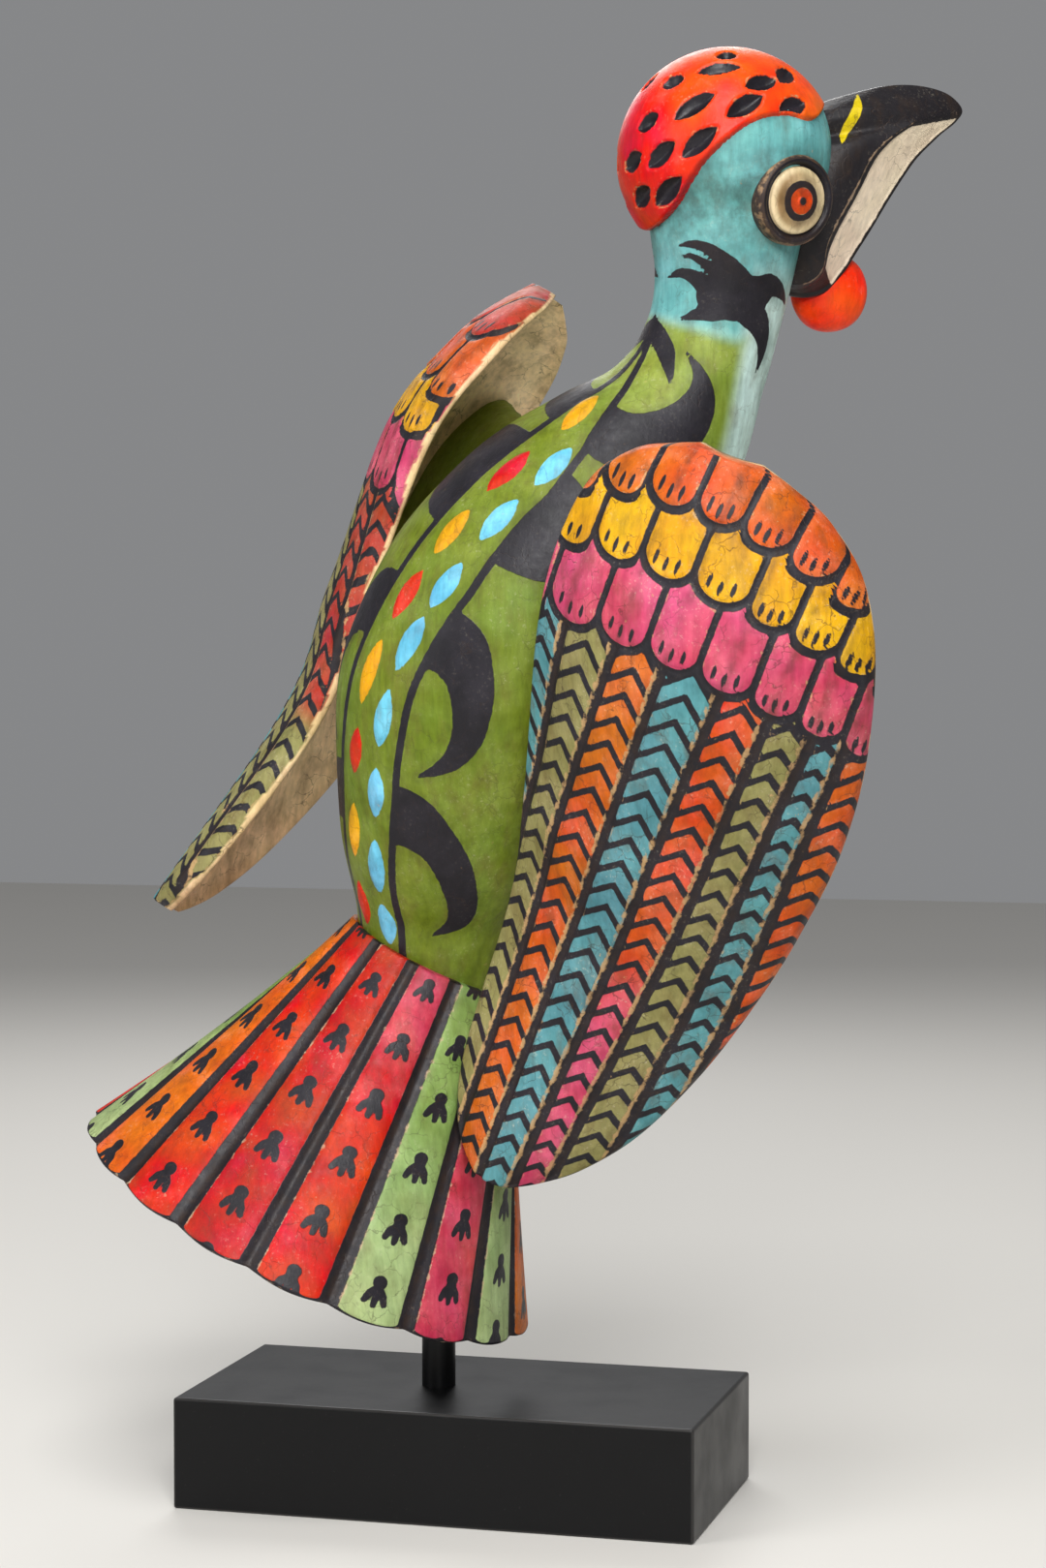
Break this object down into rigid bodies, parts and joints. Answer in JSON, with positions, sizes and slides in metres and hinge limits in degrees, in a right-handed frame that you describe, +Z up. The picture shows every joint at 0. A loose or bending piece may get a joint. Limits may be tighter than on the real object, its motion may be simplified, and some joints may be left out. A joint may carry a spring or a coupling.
{
  "type": "wooden rooster puppet",
  "caption": "Carved and painted wooden rooster puppet with raised wings and a ribbed tail fan, held upright by a rod on a black block.",
  "frame": {"origin": "centre of the display block's underside, which is the face that the object stands on", "axes": "+Z up along the rod, +X along the block's long side towards the side that the beak points to, +Y towards the back"},
  "size_m": [0.3254, 0.2318, 0.5428],
  "materials": {
    "black_lacquer": "satin black lacquer on wood",
    "black_metal": "satin black painted steel rod",
    "body_paint": "worn matt paint on carved wood: green with charcoal hooks, teal head, orange-red comb and black beak",
    "tail_paint": "worn matt paint on carved wood: red, orange and green feathers with black channels",
    "wing_paint": "worn matt paint on carved wood outside, bare pale wood inside",
    "eye_paint": "worn cream and charcoal paint on turned wood"
  },
  "bodies": {
    "root": {"base_block": "black_lacquer", "rod": "black_metal", "body": "body_paint", "tail": "tail_paint", "wing_right": "wing_paint", "wing_left": "wing_paint", "eye_right": "eye_paint", "eye_left": "eye_paint"}
  },
  "joints": []
}
